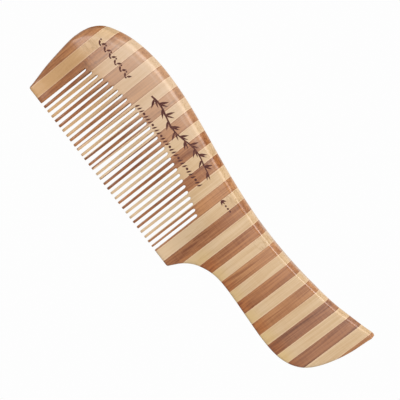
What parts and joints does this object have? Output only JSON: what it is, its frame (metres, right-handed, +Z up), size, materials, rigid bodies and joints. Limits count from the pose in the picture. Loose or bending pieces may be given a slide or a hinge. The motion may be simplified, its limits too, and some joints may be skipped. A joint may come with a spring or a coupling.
{
  "type": "wide tooth comb",
  "caption": "Wide tooth comb with an S-curved handle, cut in one piece from a board of glued light and dark bamboo strips.",
  "frame": {"origin": "under the middle of the comb's box, on the plane it lies on", "axes": "+X from the head to the end of the handle, +Y from the tooth tips to the spine, +Z up through the thickness"},
  "size_m": [0.1939, 0.0579, 0.012],
  "materials": {
    "carbonised_bamboo": "satin lacquer over steamed brown bamboo, grain along the teeth",
    "natural_bamboo": "satin lacquer over natural blond bamboo, grain along the teeth"
  },
  "bodies": {
    "root": {"strip_00_dark": "carbonised_bamboo", "strip_01_light": "natural_bamboo", "strip_02_dark": "carbonised_bamboo", "strip_03_light": "natural_bamboo", "strip_04_dark": "carbonised_bamboo", "strip_05_light": "natural_bamboo", "strip_06_dark": "carbonised_bamboo", "strip_07_light": "natural_bamboo", "strip_08_dark": "carbonised_bamboo", "strip_09_light": "natural_bamboo", "strip_10_dark": "carbonised_bamboo", "strip_11_light": "natural_bamboo", "strip_12_dark": "carbonised_bamboo", "strip_13_light": "natural_bamboo", "strip_14_dark": "carbonised_bamboo", "strip_15_light": "natural_bamboo", "strip_16_dark": "carbonised_bamboo", "strip_17_light": "natural_bamboo", "strip_18_dark": "carbonised_bamboo", "strip_19_light": "natural_bamboo", "strip_20_dark": "carbonised_bamboo", "strip_21_light": "natural_bamboo", "strip_22_dark": "carbonised_bamboo", "strip_23_light": "natural_bamboo", "strip_24_dark": "carbonised_bamboo", "strip_25_light": "natural_bamboo", "strip_26_dark": "carbonised_bamboo", "strip_27_light": "natural_bamboo", "strip_28_dark": "carbonised_bamboo", "strip_29_light": "natural_bamboo", "strip_30_dark": "carbonised_bamboo", "strip_31_light": "natural_bamboo", "strip_32_dark": "carbonised_bamboo"}
  },
  "joints": []
}
